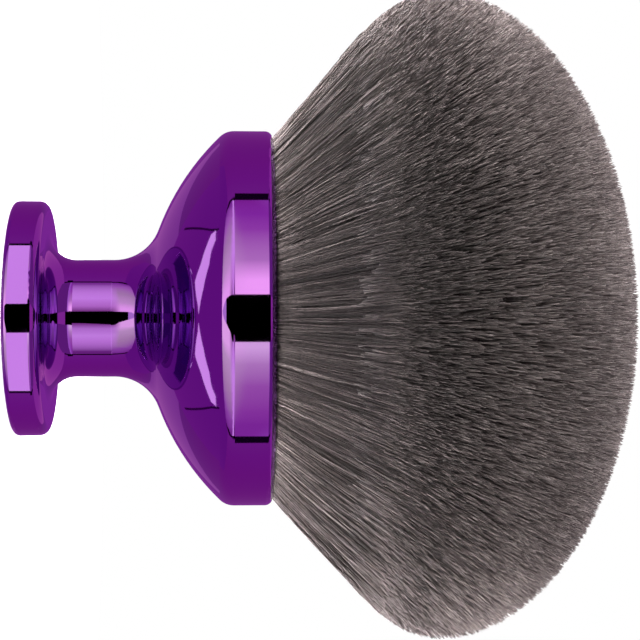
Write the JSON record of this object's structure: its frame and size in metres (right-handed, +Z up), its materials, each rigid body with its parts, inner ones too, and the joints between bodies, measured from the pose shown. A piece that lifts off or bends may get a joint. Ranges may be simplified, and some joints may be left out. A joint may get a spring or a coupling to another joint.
{
  "type": "kabuki makeup brush",
  "caption": "Kabuki brush that stands on a round foot: mirror-violet spool handle with a bell-shaped collar and a wide domed head of fanned soft bristles.",
  "frame": {"origin": "middle of the foot's underside, where the brush stands", "axes": "+Z up the brush's axis, from the foot to the top of the bristles; the brush is round, so X and Y are free"},
  "size_m": [0.0852, 0.085, 0.0817],
  "materials": {
    "metallised_plastic": "vacuum-metallised and lacquered violet, mirror gloss",
    "cover_plastic": "metallised violet, satin",
    "weight_steel": "turned",
    "cup_aluminium": "deep-drawn, plain",
    "root_resin": "cured clear amber",
    "bristle_fibre": "crimped synthetic fibre, soft sheen"
  },
  "bodies": {
    "root": {"handle_shell": "metallised_plastic", "base_cover": "cover_plastic", "foot_weight": "weight_steel", "bristle_cup": "cup_aluminium", "resin_plug": "root_resin", "bristles": "bristle_fibre"}
  },
  "joints": []
}
